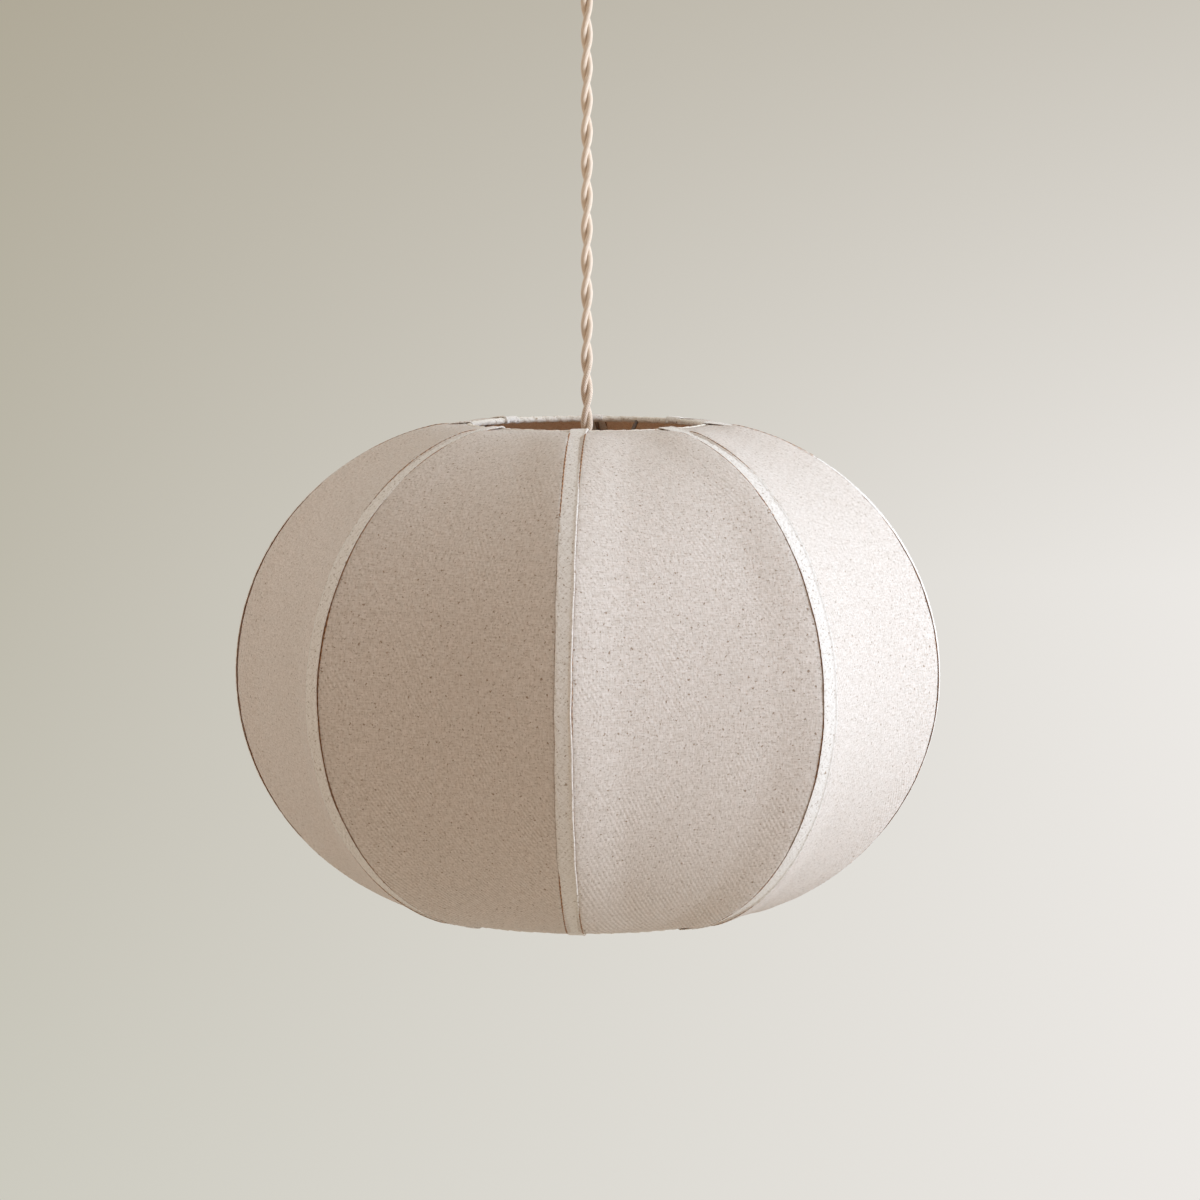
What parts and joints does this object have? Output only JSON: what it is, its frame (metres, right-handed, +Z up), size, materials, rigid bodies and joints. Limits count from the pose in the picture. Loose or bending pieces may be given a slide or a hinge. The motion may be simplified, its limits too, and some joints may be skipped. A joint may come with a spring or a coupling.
{
  "type": "pendant lamp with fabric lantern shade",
  "caption": "Ceiling pendant lamp: a squashed-globe lantern shade of stretched linen gores over wire ribs, hung on a twisted flex from a round ceiling rose.",
  "frame": {"origin": "on the ceiling plane, on the lamp's vertical axis, in the middle of the bracket's top face", "axes": "+Z up through the ceiling, -Y to the front, where one rib of the shade stands"},
  "size_m": [0.4508, 0.4508, 0.6431],
  "materials": {
    "galvanised_steel": "satin",
    "rose_enamel": "satin",
    "screw_steel": "satin",
    "terminal_nylon": "matte",
    "grip_plastic": "satin",
    "conductor_sleeve": "satin",
    "braided_flex": "woven textile",
    "holder_plastic": "satin",
    "ceramic": "glazed",
    "contact_brass": "satin",
    "frame_wire": "satin",
    "linen_tape": "woven",
    "linen": "slubbed natural weave",
    "linen_strip": "slubbed natural weave",
    "bulb_glass": "frosted",
    "nickel_cap": "satin",
    "black_glass": "gloss",
    "tip_metal": "satin"
  },
  "bodies": {
    "ceiling_rose": {"ceiling_bracket": "galvanised_steel", "canopy_cup": "rose_enamel", "canopy_screws": "screw_steel", "terminal_block": "terminal_nylon", "terminal_screws": "screw_steel", "rose_cord_grip": "grip_plastic", "grip_screw": "grip_plastic", "grip_nut": "grip_plastic", "rose_conductors": "conductor_sleeve", "cord_inner": "braided_flex"},
    "cord_neck": {"cord_neck": "braided_flex"},
    "cord": {"cord_main": "braided_flex"},
    "lampholder": {"holder_collar": "holder_plastic", "holder_cap": "holder_plastic", "holder_body": "holder_plastic", "contact_block": "ceramic", "holder_terminal_screws": "screw_steel", "holder_conductors": "conductor_sleeve", "screw_shell": "contact_brass", "centre_contact": "contact_brass"},
    "shade": {"top_ring": "frame_wire", "bottom_ring": "frame_wire", "fitter_ring": "frame_wire", "top_ring_binding": "linen_tape", "bottom_ring_binding": "linen_tape", "rib_1": "frame_wire", "rib_2": "frame_wire", "rib_3": "frame_wire", "rib_4": "frame_wire", "rib_5": "frame_wire", "rib_6": "frame_wire", "rib_7": "frame_wire", "rib_8": "frame_wire", "spider_arm_1": "frame_wire", "spider_arm_2": "frame_wire", "spider_arm_3": "frame_wire", "panel_1": "linen", "panel_2": "linen", "panel_3": "linen", "panel_4": "linen", "panel_5": "linen", "panel_6": "linen", "panel_7": "linen", "panel_8": "linen", "rib_binding_1": "linen_strip", "rib_binding_2": "linen_strip", "rib_binding_3": "linen_strip", "rib_binding_4": "linen_strip", "rib_binding_5": "linen_strip", "rib_binding_6": "linen_strip", "rib_binding_7": "linen_strip", "rib_binding_8": "linen_strip"},
    "shade_ring": {"shade_ring": "holder_plastic"},
    "bulb": {"bulb_envelope": "bulb_glass", "bulb_cap": "nickel_cap", "bulb_insulator": "black_glass", "bulb_contact": "tip_metal"}
  },
  "joints": [
    {"name": "swing_sideways", "type": "hinge", "parent": "ceiling_rose", "child": "cord_neck", "pos_m": [0, 0, -0.046], "axis": [0, 1, 0], "range_deg": [-20, 20]},
    {"name": "swing_fore_aft", "type": "hinge", "parent": "cord_neck", "child": "cord", "pos_m": [0, 0, -0.06415], "axis": [1, 0, 0], "range_deg": [-20, 20]},
    {"name": "lamp_twist", "type": "hinge", "parent": "cord", "child": "lampholder", "pos_m": [0, 0, -0.339], "axis": [0, 0, 1], "range_deg": [-180, 180]},
    {"name": "shade_lower", "type": "slide", "parent": "lampholder", "child": "shade", "axis": [0, 0, -1], "range_m": [0, 0.012]},
    {"name": "shade_ring_turn", "type": "hinge", "parent": "shade", "child": "shade_ring", "pos_m": [0, 0, -0.379], "axis": [0, 0, -1], "range_deg": [0, 1440]},
    {"name": "bulb_out", "type": "slide", "parent": "lampholder", "child": "bulb", "axis": [0, 0, -1], "range_m": [0, 0.27]}
  ],
  "couplings": [
    {"joint": "shade_ring_turn", "follows": "shade_lower", "rad_per_m": 2094.4}
  ]
}
